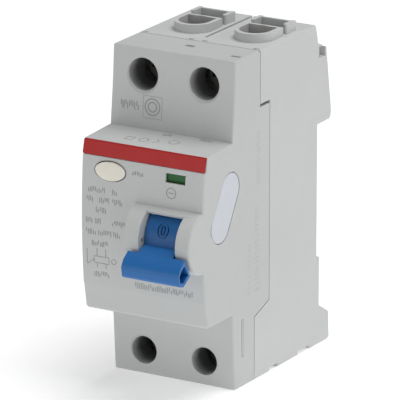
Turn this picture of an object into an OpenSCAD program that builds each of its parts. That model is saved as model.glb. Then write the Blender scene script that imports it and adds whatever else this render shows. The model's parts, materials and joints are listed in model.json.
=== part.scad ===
// Two-pole residual current device, two modules wide, for a 35 mm mounting rail.
// Origin: centre of the rail seat, on the plane that touches the rail. +Z is up, the front faces -Y.
// All the parts are shown switched off: toggle down, contacts open, terminals open.

/* [Housing] */
// Width across both poles
body_w = 35; // [34.8:0.1:35.2]
// Height of the top face above the centre of the rail
top_z = 44.1; // [44:0.1:44.2]
// Distance of the bottom face below the centre of the rail
bottom_z = 40.9; // [40.8:0.1:41]
// Distance from the rail seat to the shoulders, where they meet the nose
shoulder_y = 42.9; // [42.8:0.1:43]
// Distance from the rail seat to the middle of the nose
nose_y = 57.2; // [57.1:0.1:57.3]
// Thickness of the moulded walls
wall = 1.6; // [1.5:0.1:1.7]
// Width of the parting line between the cover and the base
seam_gap = 0.24; // [0.16:0.04:0.28]

/* [Terminals] */
// Height of the upper screws above the centre of the rail
line_screw_z = 37.35; // [37.2:0.05:37.5]
// Distance of the lower screws below the centre of the rail
load_screw_z = 34.55; // [34.4:0.05:34.7]
// Radius of the upper screwdriver guide bores
line_guide_r = 4.2; // [4.1:0.05:4.3]
// Radius of the lower screwdriver guide bores
load_guide_r = 3.6; // [3.5:0.05:3.7]
// Radius of the screw heads
screw_head_r = 3.3; // [3.1:0.1:3.3]
// Offset of each cable collar from its screw, towards +X
collar_offset = 1.65; // [1.4:0.05:1.8]
// Height of the round cable collars above the top face
collar_h = 2.3; // [2:0.1:2.6]
// Height of the posts behind the cable collars above the top face
post_h = 2.6; // [2.4:0.1:3]

/* [Controls] */
// Distance of the toggle pivot in front of the rail seat
toggle_y = 53.4; // [53.2:0.1:53.6]
// Height of the toggle pivot above the centre of the rail
toggle_z = 1.3; // [1.2:0.1:1.4]
// Radius of the hump round the toggle
hump_r = 7.9; // [7.8:0.1:8]
// Radius of the drum of the toggle
drum_r = 8.1; // [8:0.1:8.2]
// Angle of the toggle below the horizontal when it is off
toggle_rest = 22; // [21:1:23]
// Length of the handle bar
bar_w = 16.3; // [15.9:0.1:16.7]
// Width of the oval test button
button_w = 8.6; // [8.4:0.1:8.8]
// Height of the oval test button
button_h = 4.7; // [4.5:0.1:4.9]

/* [Contacts and sensor] */
// Diameter of the primary conductors over their insulation
conductor_d = 3.2; // [2.8:0.2:3.4]
// Outer radius of the current sensor's case
sensor_r = 12.2; // [11.8:0.1:12.4]
// Radius of the hole through the current sensor
sensor_hole_r = 5.2; // [5:0.1:5.4]

/* [Hidden] */

$fn = 64;
half_w = body_w / 2;
pole_x = body_w / 4;
eps = 0.05;
line_end = 1;
load_end = -1;

// Mouldings
cover_grey = "#c4c6c5";
base_grey = "#c9cbca";
inner_ivory = "#ddd8c8";
case_black = "#2b2c2e";
steel = "#b4b7ba";
brass_yellow = "#c8a84e";
copper = "#b87346";
silver = "#d8d8d4";

// Outline of the housing seen from the side
seat_y = 0;
rear_corner = [-1.5, 38.9];
shoulder_edge_y = 41.5;
nose_top_z = 23.7;
nose_edge_z = 23.15;
band_low_z = 19.5;
chin_z = -13.7;
chin_step = 0.25;
chin_drop = 0.6;
nose_low_z = -20.9;
nose_low_y = 54.9;
face_mid_z = 2.5;
face_curve = 400;
face_steps = 8;

// Parting line between the cover and the base, as a run of (y, z) corners
seam_top_y = -29.3;
seam_mid_y = -24.5;
seam_low_y = -31.9;
seam_step_z = 29.7;
seam_bend_z = -21.7;
seam_low_z = -24.3;
snap_slot_h = 0.5;
lip_t = 0.7;
lip_reach = 1.6;

// Terminals, along the screw's axis
guide_mouth_y = -41.6;
guide_end_y = -33.9;
guide_boss_r = 5.1;
head_front_y = -33.2;
head_t = 2.6;
shank_r = 2.5;
strip_front_y = -22.5;
strip_t = 1.2;
strip_w = 6.4;
cage_front_y = -24.7;
cage_back_y = -14.2;
cage_front_t = 1.9;
cage_back_t = 1.2;
cage_side_t = 1;
cage_half_w = 5.2;
cage_half_h = 3.8;
collar_r = 4.1;
collar_wall = 1.15;
collar_mid_y = -19.4;
collar_back_y = -15.6;
collar_divider = 0.9;
pocket_front_y = -13;
pocket_back_y = -9.1;
pocket_top = 5.3;
chamber_floor_z = 27.4;
chamber_ceiling_z = -25.4;
floor_t = 1;

// Rail grip
rail_half = 17.5;
rail_lip = 1.25;
hook_half_w = 8;
cheek_w = 3;
clip_half_w = 8.7;
channel_half_w = 9;

// Toggle, mechanism and contacts
hump_y = 56.2;
hump_z = 1.5;
slot_left = 3.1;
slot_right = 13.6;
slot_top = 49.5;
slot_low = 41;
drum_left = slot_left + 0.35;
drum_right = slot_right - 0.35;
crank_u = 5.5;
crank_x = 5.85;
crank_t = 1.6;
link_leg_x = 7.6;
lever_x = 3.7;
lever_t = 2;
wire_r = 0.7;
eye_play = 0.75;
carrier_y = -34;
carrier_z = -10;
lever_len = 12.5;
arm_len = 25;
arm_tilt = 9;
contact_r = 2.1;
trip_y = -25.5;
trip_z = 5;
frame_in = 13.4;
frame_out = 14.8;

// Oval test button and indicator window
button_x = -9.2;
button_z = 16.1;
window_left = 6.55;
window_right = 12.2;
window_low = 15.7;
window_high = 18;
flag_y = -48.9;
flag_z = 16.9;
flag_r = 7;
flag_side = 0.25;
flag_play = 0.15;
trunnion_r = 1;

// Sensor and relay
sensor_y = -14.6;
sensor_z = -15.2;
sensor_h = 9.4;
relay_x = 1.6;
relay_w = 12.6;
relay_front_y = -19.5;
relay_back_y = -3;
relay_low_z = 0.6;
relay_high_z = 18.4;
plunger_z = relay_high_z - 3.5;

// ---------------------------------------------------------------- shared shapes

// Extrudes a (y, z) outline from x0 to x1.
module along_x(x0, x1) {
    translate([x0, 0, 0]) rotate([90, 0, 90]) linear_extrude(x1 - x0) children();
}

module block(x, y, z) {
    translate([x[0], y[0], z[0]]) cube([x[1] - x[0], y[1] - y[0], z[1] - z[0]]);
}

module rod_x(x0, x1, y, z, r) {
    translate([x0, y, z]) rotate([0, 90, 0]) cylinder(h = x1 - x0, r = r);
}

module rod_y(x, y0, y1, z, r) {
    translate([x, y0, z]) rotate([-90, 0, 0]) cylinder(h = y1 - y0, r = r);
}

module mirror_pair() {
    children();
    mirror([1, 0, 0]) children();
}

// A straight slot with round ends, in the plane, centred on the origin and long along y.
module obround(w, len) {
    square([w, len - w], center = true);
    for (s = [-1, 1]) translate([0, s * (len - w) / 2]) circle(w / 2);
}

function unit(v) = v / norm(v);

// Catmull-Rom curve through a list of points, with n steps in each span.
function curve_point(a, b, c, d, t) =
    0.5 * (2 * b + (c - a) * t + (2 * a - 5 * b + 4 * c - d) * t * t + (3 * b - a - 3 * c + d) * t * t * t);
function smooth(p, n) = concat(
    [for (i = [0 : len(p) - 2], k = [0 : n - 1])
        curve_point(p[max(i - 1, 0)], p[i], p[i + 1], p[min(i + 2, len(p) - 1)], k / n)],
    [p[len(p) - 1]]);

function tangent(p, i) = unit(p[min(i + 1, len(p) - 1)] - p[max(i - 1, 0)]);

// A tube of radius r swept along the points p. The reference direction is never along the tube.
module tube(p, r, sides = 8, reference = [0.31, 0.52, 0.79]) {
    rings = [for (i = [0 : len(p) - 1])
        let (t = tangent(p, i), u = unit(cross(t, reference)), v = cross(t, u))
        for (k = [0 : sides - 1]) p[i] + r * (cos(360 * k / sides) * u + sin(360 * k / sides) * v)];
    last = (len(p) - 1) * sides;
    walls = [for (i = [0 : len(p) - 2], k = [0 : sides - 1])
        let (a = i * sides + k, b = i * sides + (k + 1) % sides)
        for (f = [[a, a + sides, b], [b, a + sides, b + sides]]) f];
    start = [for (k = [0 : sides - 1]) k];
    end = [for (k = [sides - 1 : -1 : 0]) last + k];
    polyhedron(rings, concat(walls, [start, end]));
}

// Points of a coil about the x axis.
function coil_x(turns, r, pitch, steps = 14) =
    [for (i = [0 : turns * steps]) [pitch * i / steps, r * cos(360 * i / steps), r * sin(360 * i / steps)]];

// ---------------------------------------------------------------- housing outlines

function face_y(z) = -nose_y + pow(z - face_mid_z, 2) / face_curve;

// Side outline of the housing, moved inwards by t.
function side_outline(t) = concat(
    [[rear_corner[0] - t, top_z - t],
     [-shoulder_edge_y + t, top_z - t],
     [-shoulder_y + t, nose_top_z - t],
     [-nose_y + 1.6 + t, nose_edge_z - t]],
    [for (i = [0 : face_steps])
        let (z = band_low_z + (chin_z - band_low_z) * i / face_steps)
        [face_y(z) + t, z]],
    [[face_y(chin_z) + chin_step + t, chin_z - chin_drop],
     [-nose_low_y - 0.35 + t, nose_low_z + 0.8 + t / 2],
     [-nose_low_y + t, nose_low_z + t],
     [-shoulder_y + 0.15 + t, nose_low_z - 0.2 + t],
     [-shoulder_edge_y + t, -bottom_z + t],
     [seat_y - t, -bottom_z + t],
     [seat_y - t, rear_corner[1] - t / 4]]);

module housing_solid(t) {
    along_x(-half_w + t, half_w - t) polygon(side_outline(t));
}

module housing_shell(outer, inner) {
    difference() {
        housing_solid(outer);
        housing_solid(inner);
    }
}

// Everything in front of the parting line, moved forward by g.
module cover_zone(g) {
    far = 90;
    along_x(-far, far) polygon([
        [-far, far], [seam_top_y - g, far], [seam_top_y - g, seam_step_z - g],
        [seam_mid_y - g, seam_step_z - g], [seam_mid_y - g, seam_bend_z + g],
        [seam_low_y - g, seam_low_z + g], [seam_low_y - g, -far], [-far, -far]]);
}

// Places a terminal's parts. Local z runs from the screw towards the outside of the housing.
module at_terminal(side, end) {
    z = end == line_end ? line_screw_z : -load_screw_z;
    translate([side * pole_x, 0, z]) mirror([0, 0, end == line_end ? 0 : 1]) children();
}

module each_terminal() {
    for (side = [-1, 1], end = [line_end, load_end]) at_terminal(side, end) children();
}

// ---------------------------------------------------------------- rear base

// The cable opening: flat towards the rail, round towards the front.
module collar_outline(r, back_y) {
    translate([0, collar_mid_y]) circle(r);
    translate([-r, collar_mid_y]) square([2 * r, back_y - collar_mid_y]);
}

module collar() {
    post_front_y = -12.4;
    rear_wall_t = 0.8;
    rear_wall_h = 2.45;
    difference() {
        linear_extrude(collar_h) collar_outline(collar_r + collar_wall, collar_back_y + collar_divider);
        translate([0, 0, -eps]) linear_extrude(collar_h + 1) collar_outline(collar_r, collar_back_y);
    }
    mirror_pair() {
        block([collar_r, collar_r + collar_wall], [post_front_y, pocket_back_y + rear_wall_t], [0, post_h]);
        translate([collar_r + collar_wall / 2, post_front_y, 0]) cylinder(h = post_h, r = collar_wall / 2);
    }
    block([-collar_r - eps, collar_r + eps], [pocket_back_y, pocket_back_y + rear_wall_t], [0, rear_wall_h]);
}

// Openings through the top or bottom wall for one pole, with the pocket behind the cable.
module cable_openings() {
    z0 = 4.2;
    z1 = 12;
    translate([collar_offset, 0, 0]) {
        translate([0, 0, z0]) linear_extrude(z1 - z0) collar_outline(collar_r, collar_back_y);
        block([-collar_r, collar_r], [pocket_front_y, pocket_back_y], [z0, z1]);
        block([-collar_r, collar_r], [collar_back_y + collar_divider, pocket_back_y], [pocket_top + 0.1, z1]);
    }
}

// The blind pocket behind each cable opening.
module rear_pocket() {
    depth = 7.2;
    t = 0.9;
    translate([collar_offset, 0, pocket_top - depth]) difference() {
        block([-collar_r - t, collar_r + t], [pocket_front_y - t, pocket_back_y + t], [-t, depth]);
        block([-collar_r, collar_r], [pocket_front_y, pocket_back_y], [0, depth + 1]);
    }
}

// Inner lip of the base, which the cover's edge slides over.
module seam_lip() {
    clear = 0.1;
    intersection() {
        housing_shell(wall + clear, wall + lip_t);
        difference() {
            cover_zone(-4);
            cover_zone(lip_reach);
        }
    }
    intersection() {
        housing_shell(wall - 0.3, wall + lip_t);
        difference() {
            cover_zone(-4);
            cover_zone(-0.4);
        }
    }
}

// Upper part of the back, which sits on the rail, and its fixed hook.
module upper_grip() {
    outline = [[-1, rail_half + 0.2], [5.9, rail_half + 0.2], [6.7, rail_half + 0.7], [6.9, rail_half + 1.6],
        [4.1, 37.2], [0.9, 38.7], [-1, 38.8]];
    web_t = 3.2;
    mirror_pair() along_x(half_w - cheek_w, half_w) polygon(outline);
    along_x(-hook_half_w - 1.6, hook_half_w + 1.6) polygon(outline);
    intersection() {
        along_x(-half_w, half_w) polygon(outline);
        block([-half_w, half_w], [-1, web_t], [0, 50]);
    }
    along_x(-hook_half_w, hook_half_w)
        polygon([[rail_lip, rail_half + 1], [rail_lip, 15.3], [2, 14.7], [3.2, 15], [5.4, rail_half + 1]]);
}

// Lower part of the back: two cheeks with the channel for the rail clip, and a strap over it.
module lower_grip() {
    outline = [[-1, -rail_half - 0.1], [1.4, -rail_half - 0.1], [1.4, -30.5], [6.3, -33.4], [6.75, -40.4],
        [5.75, -bottom_z], [-1, -bottom_z]];
    mirror_pair() along_x(channel_half_w, half_w) polygon(outline);
    along_x(-channel_half_w - 1, channel_half_w + 1)
        polygon([[3.15, -32], [4.6, -32.9], [4.6, -37], [3.15, -37]]);
}

// Shallow windows in the seat behind the hooks, where the mould passes.
module hook_windows() {
    depth = 0.6;
    block([-hook_half_w - 0.3, hook_half_w + 0.3], [-depth, 1], [14.2, rail_half + 0.2]);
    block([-clip_half_w - 0.3, clip_half_w + 0.3], [-depth, 1], [-rail_half - 1.5, -14.2]);
}

module rear_base() {
    barrier_t = 1.2;
    groove_x = -0.9;
    groove_w = 0.8;
    notch_h = 0.9;
    lug_w = 1.2;
    color(base_grey) difference() {
        union() {
            difference() {
                housing_shell(0, wall);
                cover_zone(-seam_gap / 2);
            }
            seam_lip();
            upper_grip();
            lower_grip();
            for (side = [-1, 1]) translate([side * pole_x + collar_offset, 0, top_z - eps]) collar();
            for (z = [[chamber_floor_z, top_z - 1], [-bottom_z + 1, chamber_ceiling_z]])
                block([-barrier_t / 2, barrier_t / 2], [seam_top_y + 0.6, -1], z);
            for (z = [chamber_floor_z, chamber_ceiling_z - floor_t])
                block([-half_w + 1, half_w - 1], [seam_mid_y + 0.3, -1], [z, z + floor_t]);
            each_terminal() rear_pocket();
            // Lugs on the top, just behind the parting line
            for (x = [-15.9, -2.6, 1.2, 15.9]) block([x - lug_w / 2, x + lug_w / 2],
                [seam_top_y + 0.5, seam_top_y + 1.3], [top_z - 1, top_z + 0.25]);
        }
        each_terminal() cable_openings();
        each_terminal() block([-strip_w / 2 - 0.3, strip_w / 2 + 0.3],
            [strip_front_y - 0.3, strip_front_y + strip_t + 0.3], [-12, -5]);
        block([groove_x, groove_x + groove_w], [-25.2, -1], [top_z - 1.1, top_z + 1]);
        for (y = [[-9.4, -3.7], [-24, -20]])
            block([-half_w - 1, half_w + 1], y, [-bottom_z - 1, -bottom_z + notch_h]);
        hook_windows();
        // Screwdriver recesses at the top of the grip
        mirror_pair() block([half_w - 1.6, half_w + 1], [0.3, 3.6], [35, 38]);
        // Snap slots at the step of the parting line
        mirror_pair() block([half_w - 1.2, half_w + 1], [seam_top_y - 0.1, seam_mid_y + 0.1],
            [seam_step_z - 0.1, seam_step_z + snap_slot_h]);
    }
}

// ---------------------------------------------------------------- front cover

// The hump round the toggle: part of a cylinder with one slightly drafted end.
module hump(back_y) {
    foot_x = -1.9;
    crown_x = -1.1;
    intersection() {
        rod_x(foot_x, half_w, -hump_y, hump_z, hump_r);
        translate([0, 0, hump_z - hump_r]) linear_extrude(2 * hump_r)
            polygon([[foot_x, back_y], [foot_x, -nose_y], [crown_x, -hump_y - hump_r],
                [half_w, -hump_y - hump_r], [half_w, back_y]]);
    }
}

// Cheeks beside the toggle, which hold its pin.
module toggle_cheeks() {
    for (x = [[slot_left - 1.6, slot_left], [slot_right, slot_right + 1.6]])
        block(x, [-nose_y + 0.8, -toggle_y + 3.2], [-6.2, 11]);
}

module toggle_slot() {
    reach = 14;
    rod_x(slot_left, slot_right, -toggle_y, toggle_z, drum_r + 0.35);
    translate([0, -toggle_y, toggle_z]) along_x(slot_left, slot_right)
        polygon([[0, 0], [-reach * cos(slot_top), reach * sin(slot_top)], [-reach * 1.4, 0],
            [-reach * cos(slot_low), -reach * sin(slot_low)]]);
}

module oval(w, h) {
    steps = 48;
    polygon([for (i = [0 : steps - 1]) [w / 2 * cos(360 * i / steps), h / 2 * sin(360 * i / steps)]]);
}

// Draws a plane shape on the face at (x, z), extruded backwards from y0 to y1.
module on_face(x, z, y0, y1) {
    translate([x, y1, z]) rotate([90, 0, 0]) linear_extrude(y1 - y0) children();
}

module plug_outline(w, len) {
    tilt = 30;
    translate([-46.3, 8]) rotate(-tilt) obround(w, len);
}

function band_outline(t) = [[-nose_y + 1.6 - 0.3, nose_edge_z + 0.02], [face_y(band_low_z) - 0.3, band_low_z],
    [face_y(band_low_z) + t, band_low_z], [-nose_y + 1.6 + t, nose_edge_z + 0.02]];

// The bore that guides a screwdriver, with a flared mouth.
module screwdriver_guide(r) {
    flare = 2;
    rod_y(0, -50, -30, 0, r);
    translate([0, guide_mouth_y - flare, 0]) rotate([-90, 0, 0]) cylinder(h = flare, r1 = r + flare, r2 = r);
}

// Ribs behind the front wall that hold the trunnions of the indicator flag.
module flag_bearings() {
    rib_t = 1;
    half_h = 2;
    gap = flag_side + 2 * flag_play;
    for (x = [window_left - gap - rib_t, window_right + gap]) difference() {
        block([x, x + rib_t], [-nose_y + 1.5, flag_y + half_h], [flag_z - half_h, flag_z + half_h]);
        rod_x(x - 1, x + 2, flag_y, flag_z, trunnion_r + 0.05);
        block([x - 1, x + 2], [flag_y, flag_y + 3], [flag_z - 0.85, flag_z + 0.85]);
    }
}

// Room for the flag, let into the back of the front wall.
module flag_pocket() {
    x = [window_left - flag_side - flag_play, window_right + flag_side + flag_play];
    intersection() {
        rod_x(x[0], x[1], flag_y, flag_z, flag_r + flag_play);
        block(x, [-nose_y, -nose_y + 8], [11, 21.3]);
    }
}

module front_cover() {
    color(cover_grey) difference() {
        union() {
            intersection() {
                housing_shell(0, wall);
                cover_zone(seam_gap / 2);
            }
            hump(-nose_y + 1.5);
            toggle_cheeks();
            // Guide bosses for the screwdriver
            each_terminal() intersection() {
                rod_y(0, -shoulder_edge_y, guide_end_y, 0, guide_boss_r);
                block([-6, 6], [-50, -30], [-6, 4.9]);
            }
            // Sleeve of the test button
            on_face(button_x, button_z, -nose_y + 1.2, -nose_y + 5) oval(button_w + 2, button_h + 2);
            flag_bearings();
        }
        toggle_slot();
        // Mould notch in the left wall of the slot
        block([slot_left - 1.2, slot_left + eps], [-62.7, -61.4], [1.2, 2.4]);
        rod_x(slot_left - 3, slot_right + 3, -toggle_y, toggle_z, 1.02);
        for (side = [-1, 1]) {
            at_terminal(side, line_end) screwdriver_guide(line_guide_r);
            at_terminal(side, load_end) screwdriver_guide(load_guide_r);
        }
        on_face(button_x, button_z, -nose_y - 1, -nose_y + 6) oval(button_w + 0.4, button_h + 0.4);
        block([window_left, window_right], [-nose_y - 1, -nose_y + 4], [window_low, window_high]);
        flag_pocket();
        along_x(-half_w - 1, half_w + 1) polygon(band_outline(0.5));
        // Plug seat and the hole behind it
        along_x(half_w - 1, half_w + 1) plug_outline(9, 18.5);
        along_x(half_w - wall - 1, half_w) plug_outline(6.6, 16);
        // Witness groove on the side of the lower shoulder
        block([half_w - 0.1, half_w + 1], [-37.8, -37.4], [-32.9, -23.4]);
        // Snap windows near the parting line
        block([-0.9, 1.6], [-35, -33.6], [top_z - 0.4, top_z + 1]);
        block([13.6, 16.4], [-37.6, -36.6], [top_z - 0.3, top_z + 1]);
    }
}

// ---------------------------------------------------------------- trim on the housing

module colour_band() {
    color("#a8201e") intersection() {
        along_x(-half_w + 0.02, half_w - 0.02) polygon(band_outline(0.47));
        housing_solid(0);
    }
}

module side_plug() {
    play = 0.12;
    color("#d3d8de") {
        along_x(half_w - 0.95, half_w) plug_outline(9 - 2 * play, 18.5 - 2 * play);
        along_x(half_w - wall - 0.6, half_w - 0.9) plug_outline(6.6 - 2 * play, 16 - 2 * play);
    }
}

// ---------------------------------------------------------------- rail clip

module rail_clip() {
    plate_t = 2.6;
    front_y = 0.2;
    arm_slot = 0.8;
    color(inner_ivory) difference() {
        union() {
            block([-clip_half_w, clip_half_w], [front_y, front_y + plate_t], [-40, -18.2]);
            along_x(-hook_half_w + 0.6, hook_half_w - 0.6) polygon([[rail_lip, -19], [rail_lip, -15.5],
                [2.1, -14.9], [3.7, -16.8], [3.9, -20], [1.6, -20.4]]);
            block([-4.5, 4.5], [front_y, 4.6], [-40.7, -37.8]);
        }
        // Slots that free the two moulded spring arms
        mirror_pair() block([5.4, 5.4 + arm_slot], [-1, 4], [-36, -22]);
        mirror_pair() block([5.4, 7.4], [-1, 4], [-36.8, -36]);
        // Slot for a screwdriver
        block([-2.8, 2.8], [-1, 6], [-40, -38.7]);
    }
}

// ---------------------------------------------------------------- terminals

module terminal_screw() {
    slot_w = 1.1;
    slot_d = 1.3;
    color(steel) difference() {
        union() {
            rod_y(0, head_front_y, head_front_y + head_t, 0, screw_head_r);
            rod_y(0, head_front_y + head_t - eps, strip_front_y - 0.1, 0, shank_r);
        }
        for (a = [0, 90]) rotate([0, a, 0])
            block([-2.6, 2.6], [head_front_y - 1, head_front_y + slot_d], [-slot_w / 2, slot_w / 2]);
    }
}

module terminal_cage() {
    color(silver) difference() {
        block([-cage_half_w, cage_half_w], [cage_front_y, cage_back_y], [-cage_half_h, cage_half_h]);
        block([-cage_half_w + cage_side_t, cage_half_w - cage_side_t],
            [cage_front_y + cage_front_t, cage_back_y - cage_back_t], [-cage_half_h - 1, cage_half_h + 1]);
        rod_y(0, cage_front_y - 1, cage_front_y + cage_front_t + 1, 0, shank_r + 0.05);
    }
}

// Copper strip from the upper cage, forward over the contacts and down to the fixed contact.
module line_strip() {
    drop_z = 16.75;
    front_y = -44.6;
    foot_z = 27;
    color(copper) along_x(-strip_w / 2, strip_w / 2) polygon([
        [strip_front_y, 3.2], [strip_front_y + strip_t, 3.2], [strip_front_y + strip_t, -drop_z - strip_t],
        [front_y + strip_t, -drop_z - strip_t], [front_y + strip_t, -foot_z], [front_y, -foot_z],
        [front_y, -drop_z], [strip_front_y, -drop_z]]);
}

module load_strip() {
    color(copper) block([-strip_w / 2, strip_w / 2], [strip_front_y, strip_front_y + strip_t], [-11, 3.2]);
}

// ---------------------------------------------------------------- contacts

// Places parts on the contact carrier. Local z runs up the moving arm, local y towards the rail.
module at_carrier() {
    translate([0, carrier_y, carrier_z]) children();
}

module fixed_contact(side) {
    tip_z = 12.8;
    color(silver) rod_y(side * pole_x, -43.4, -43.05, tip_z, contact_r);
}

module moving_arm(side) {
    color(copper) at_carrier() rotate([-arm_tilt, 0, 0]) translate([side * pole_x, 0, 0]) {
        block([-2.2, 2.2], [-2.9, -1.7], [-1, arm_len + 2]);
        block([-2.2, 2.2], [-2.9, 4.4], [3.6, 4.8]);
    }
}

module moving_contact(side) {
    color(silver) at_carrier() rotate([-arm_tilt, 0, 0]) translate([side * pole_x, -3.6, arm_len - 0.8])
        rotate([-90, 0, 0]) {
            cylinder(h = 0.4, r1 = 0.8, r2 = contact_r);
            translate([0, 0, 0.4]) cylinder(h = 0.3, r = contact_r);
        }
}

module contact_carrier() {
    bore_r = 1.32;
    color(case_black) at_carrier() difference() {
        union() {
            rod_x(-12.8, 12.8, 0, 0, 3.3);
            for (side = [-1, 1]) translate([side * pole_x, 0, 0]) rotate([-arm_tilt, 0, 0]) {
                block([-3.6, 3.6], [1.4, 2.8], [-2, 12.5]);
                mirror_pair() block([2.5, 3.6], [-2.4, 2.8], [-2, 12.5]);
            }
            // Lever that the link pulls
            along_x(lever_x - lever_t / 2, lever_x + lever_t / 2) polygon([[0, 3], [-lever_len, 2.4],
                [-lever_len - 2.2, 1], [-lever_len - 2.2, -1], [-lever_len, -2.4], [0, -3]]);
            // Catch for the trip lever
            along_x(-3.4, -1.2) polygon([[-2, 2], [-1.2, 5.2], [0.2, 5.2], [1.6, 2]]);
        }
        rod_x(-14, 14, 0, 0, bore_r);
        // Eye for the link, with room for the open linkage
        rod_x(lever_x - 2, lever_x + 2, -lever_len, 0, wire_r + eye_play);
        // Room for the moving arms
        for (side = [-1, 1]) rotate([-arm_tilt, 0, 0]) translate([side * pole_x, 0, 0]) {
            block([-2.3, 2.3], [-3.6, -1.6], [-3.5, 14]);
            block([-2.3, 2.3], [-3.6, 4.5], [3.5, 4.9]);
        }
    }
}

module carrier_pin() {
    color(steel) rod_x(-frame_out, frame_out, carrier_y, carrier_z, 1.25);
}

module contact_spring(side) {
    color(steel) at_carrier() rotate([-arm_tilt, 0, 0]) translate([side * pole_x, 0.6, 9.4])
        rotate([0, 0, -90]) tube(coil_x(3, 1.5, 0.62), 0.22, 6, [1, 0.02, 0.01]);
}

// Flexible copper braid from the moving arm to the primary conductor.
module braid(side) {
    x = side * pole_x;
    color("#c08455") tube(smooth([[x, -27.6, -6.4], [x, -26.6, -3.4], [x - side * 1.6, -24.4, -1.4],
        [x - side * 4, -21.6, -2]], 4), 1.1);
}

// ---------------------------------------------------------------- current sensor

module primary_conductor(side) {
    color(side < 0 ? "#2f5f9e" : "#5b4334") tube(smooth([[side * 4.4, -21, -2.2], [side * 2.9, -17.4, -2.4],
        [side * 1.9, sensor_y, -4.6], [side * 1.9, sensor_y, -9.5], [side * 1.9, sensor_y, -15.6],
        [side * 3.4, -16.4, -19.4], [side * 6.4, -18.4, -21.8], [side * pole_x, -19.3, -24.2]], 4),
        conductor_d / 2, 10);
}

module sensor_ring(inner, outer, z0, z1) {
    translate([0, sensor_y, z0]) difference() {
        cylinder(h = z1 - z0, r = outer);
        translate([0, 0, -1]) cylinder(h = z1 - z0 + 2, r = inner);
    }
}

module sensor_case() {
    t = 0.8;
    color(case_black) difference() {
        sensor_ring(sensor_hole_r, sensor_r, sensor_z, sensor_z + sensor_h - 1);
        sensor_ring(sensor_hole_r + t, sensor_r - t, sensor_z + t, sensor_z + sensor_h);
    }
}

module sensor_lid() {
    color(case_black) sensor_ring(sensor_hole_r, sensor_r, sensor_z + sensor_h - 0.98, sensor_z + sensor_h);
}

module sensor_core() {
    color("#6f7378")
        sensor_ring(sensor_hole_r + 1.9, sensor_r - 1.9, sensor_z + 2.1, sensor_z + sensor_h - 2.3);
}

// Secondary winding: a wrap round the core, parted into sectors.
module sensor_winding() {
    sectors = 24;
    color("#9c4f2a") difference() {
        sensor_ring(sensor_hole_r + 1, sensor_r - 1, sensor_z + 1.1, sensor_z + sensor_h - 1.3);
        sensor_ring(sensor_hole_r + 1.85, sensor_r - 1.85, sensor_z + 2.05, sensor_z + sensor_h - 2.25);
        for (i = [0 : sectors - 1]) translate([0, sensor_y, sensor_z]) rotate([0, 0, 360 * i / sectors])
            block([sensor_r - 1.3, sensor_r], [-0.25, 0.25], [0, sensor_h]);
    }
}

module sensor_leads() {
    color("#c8c23a") for (s = [-1, 1]) tube(smooth([[s * 1.2 + 6, -6.9, -5.3], [s * 1.2 + 6.2, -6, -4],
        [s * 1.2 + 6.6, -6.6, -2.4], [s * 1.2 + 7, -7, -0.8]], 4), 0.4, 6);
}

// ---------------------------------------------------------------- trip relay

module relay_base() {
    color(case_black) block([relay_x, relay_x + relay_w], [relay_front_y, relay_back_y],
        [relay_low_z - 0.8, relay_low_z + 1.2]);
}

module relay_can() {
    t = 0.6;
    mid_x = relay_x + relay_w / 2;
    color(silver) difference() {
        block([relay_x, relay_x + relay_w], [relay_front_y, relay_back_y],
            [relay_low_z + 1.25, relay_high_z]);
        block([relay_x + t, relay_x + relay_w - t], [relay_front_y + t, relay_back_y - t],
            [relay_low_z + 1, relay_high_z - t]);
        rod_y(mid_x, relay_front_y - 1, relay_front_y + 2, plunger_z, 1.25);
    }
}

module relay_yoke() {
    mid_x = relay_x + relay_w / 2;
    color("#8a8e92") difference() {
        block([mid_x - 3.5, mid_x + 3.5], [-16.5, -5], [relay_low_z + 1.3, relay_high_z - 6.2]);
        block([mid_x - 4, mid_x + 4], [-13.7, -7.8], [relay_low_z + 3.8, relay_high_z]);
    }
}

module relay_coil() {
    mid_x = relay_x + relay_w / 2;
    color("#9c4f2a") difference() {
        block([mid_x - 5, mid_x + 5], [-18, -12], [relay_low_z + 4.4, relay_high_z - 7.4]);
        block([mid_x - 3.6, mid_x + 3.6], [-16.6, -13.6], [relay_low_z, relay_high_z]);
    }
}

module relay_plunger() {
    mid_x = relay_x + relay_w / 2;
    color("#b5462f") {
        rod_y(mid_x, relay_front_y - 4.1, -8.6, plunger_z, 1.2);
        rod_y(mid_x, -15.4, -14.4, plunger_z, 2.4);
    }
}

module relay_spring() {
    mid_x = relay_x + relay_w / 2;
    color(steel) translate([mid_x, -13.9, plunger_z]) rotate([0, 0, 90])
        tube(coil_x(4, 1.75, 1), 0.2, 6, [1, 0.02, 0.01]);
}

// ---------------------------------------------------------------- mechanism

// Places parts on the toggle. Local -y runs along the lever, out of the front.
module at_toggle() {
    translate([0, -toggle_y, toggle_z]) rotate([toggle_rest, 0, 0]) children();
}

module drum_sector(r) {
    reach = 20;
    spread = 80;
    intersection() {
        circle(r);
        polygon([[3, 0], [-reach * cos(spread), reach * sin(spread)], [-reach * 1.6, reach],
            [-reach * 1.6, -reach], [-reach * cos(spread), -reach * sin(spread)]]);
    }
}

// Engraved marks on the drum: a ringed O for off and a bar for on.
module drum_marks() {
    depth = 0.3;
    mark_angle = 46.5;
    mid_x = (slot_left + slot_right) / 2;
    rotate([-mark_angle, 0, 0]) on_face(mid_x, 0, -drum_r - 1, -drum_r + depth) {
        difference() {
            oval(3.2, 4.1);
            oval(2.5, 3.4);
        }
        difference() {
            obround(1.3, 2.5);
            obround(0.5, 1.7);
        }
    }
    rotate([mark_angle, 0, 0]) on_face(mid_x, 0, -drum_r - 1, -drum_r + depth) obround(0.6, 3);
}

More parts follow.
